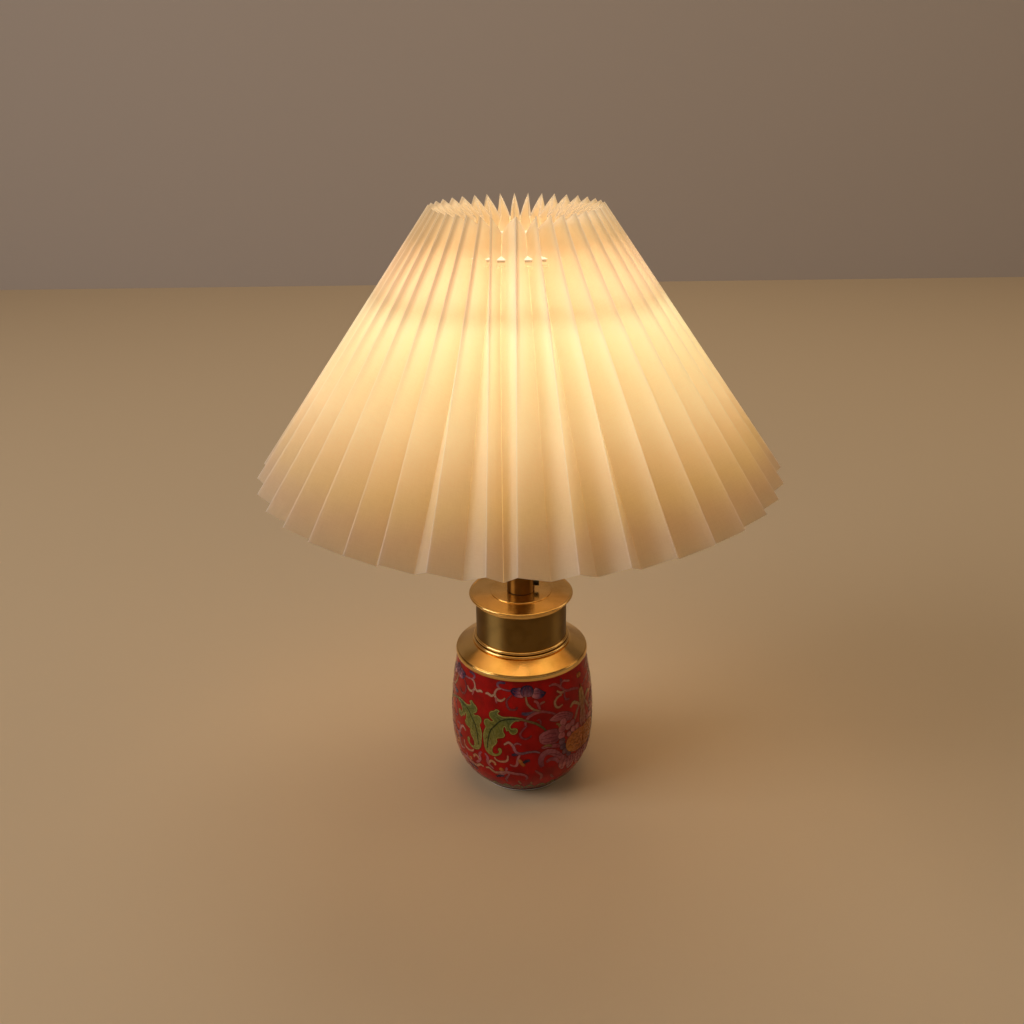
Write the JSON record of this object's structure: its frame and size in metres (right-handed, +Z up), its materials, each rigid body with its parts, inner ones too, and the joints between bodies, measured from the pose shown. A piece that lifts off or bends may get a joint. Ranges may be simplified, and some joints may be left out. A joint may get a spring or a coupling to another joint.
{
  "type": "ceramic table lamp",
  "caption": "Table lamp with a red glazed ceramic jar, a turned brass neck, a stem that slides in a clamped collar, a screw bulb and a pleated cone shade that turns.",
  "frame": {"origin": "on the table under the middle of the foot, on the lamp's upright axis", "axes": "+Z up along the stem, -Y to the front, +X to the right where the clamp screw is"},
  "size_m": [0.2995, 0.2999, 0.358],
  "materials": {
    "felt": "pressed felt",
    "red_glaze": "gloss glaze with scroll flowers",
    "black_rubber": "matte",
    "ballast_iron": "as cast",
    "zinc_steel": "zinc plated",
    "brass": "turned and lacquered",
    "brushed_brass": "brushed and lacquered",
    "black_fibre": "pressed fibre",
    "black_steel": "blackened",
    "black_plastic": "moulded",
    "white_porcelain": "fired",
    "contact_brass": "pressed sheet",
    "black_glass": "fused",
    "cap_aluminium": "rolled thread",
    "opal_glass": "opal",
    "clear_glass": "clear",
    "filament_phosphor": "phosphor coated",
    "white_steel": "white enamel",
    "pleated_paper": "film-backed pleated sheet"
  },
  "bodies": {
    "base": {"foot_pad": "felt", "ceramic_body": "red_glaze", "cable_grommet": "black_rubber", "ballast_ring": "ballast_iron", "foot_washer": "zinc_steel", "foot_nut": "zinc_steel", "tie_tube": "zinc_steel", "shoulder_gasket": "black_rubber", "shoulder_cap": "brass", "bead_ring": "brass", "neck_sleeve": "brushed_brass", "top_plate": "brass", "cover_disc": "brass", "seat_washer": "black_fibre", "stem_collar": "brass"},
    "clamp_screw": {"clamp_screw": "black_steel"},
    "stem": {"stem_tube": "brass", "stem_stop": "zinc_steel", "lock_nut": "brass", "holder_cap": "black_plastic", "holder_shell": "black_plastic", "holder_core": "white_porcelain", "terminal_screws": "zinc_steel", "screw_contact": "contact_brass", "centre_contact": "contact_brass"},
    "ring_nut": {"shade_ring_nut": "black_plastic"},
    "shade": {"carrier_hub": "white_steel", "carrier_legs": "white_steel", "carrier_struts": "white_steel", "lower_hoop": "white_steel", "top_ring": "white_steel", "pleated_shade": "pleated_paper"},
    "bulb_seat": {"bulb_tip": "contact_brass"},
    "bulb": {"bulb_insulator": "black_glass", "bulb_cap": "cap_aluminium", "bulb_glass": "opal_glass", "filament_mount": "clear_glass", "filaments": "filament_phosphor"}
  },
  "joints": [
    {"name": "stem_slide", "type": "slide", "parent": "base", "child": "stem", "axis": [0, 0, 1], "range_m": [-0.037, 0.03]},
    {"name": "clamp_screw_turn", "type": "hinge", "parent": "base", "child": "clamp_screw", "pos_m": [0.0087, 0, 0.1339], "axis": [1, 0, 0], "range_deg": [0, 360]},
    {"name": "ring_nut_turn", "type": "hinge", "parent": "stem", "child": "ring_nut", "pos_m": [0, 0, 0.2244], "axis": [0, 0, 1], "range_deg": [0, 720]},
    {"name": "shade_turn", "type": "hinge", "parent": "stem", "child": "shade", "pos_m": [0, 0, 0.22], "axis": [0, 0, 1], "continuous": true},
    {"name": "bulb_lift", "type": "slide", "parent": "stem", "child": "bulb_seat", "axis": [0, 0, 1], "range_m": [0, 0.02544]},
    {"name": "bulb_turn", "type": "hinge", "parent": "bulb_seat", "child": "bulb", "pos_m": [0, 0, 0.225], "axis": [0, 0, 1], "range_deg": [0, 2520]}
  ],
  "couplings": [
    {"joint": "bulb_lift", "follows": "bulb_turn", "m_per_rad": 0.00057614}
  ]
}
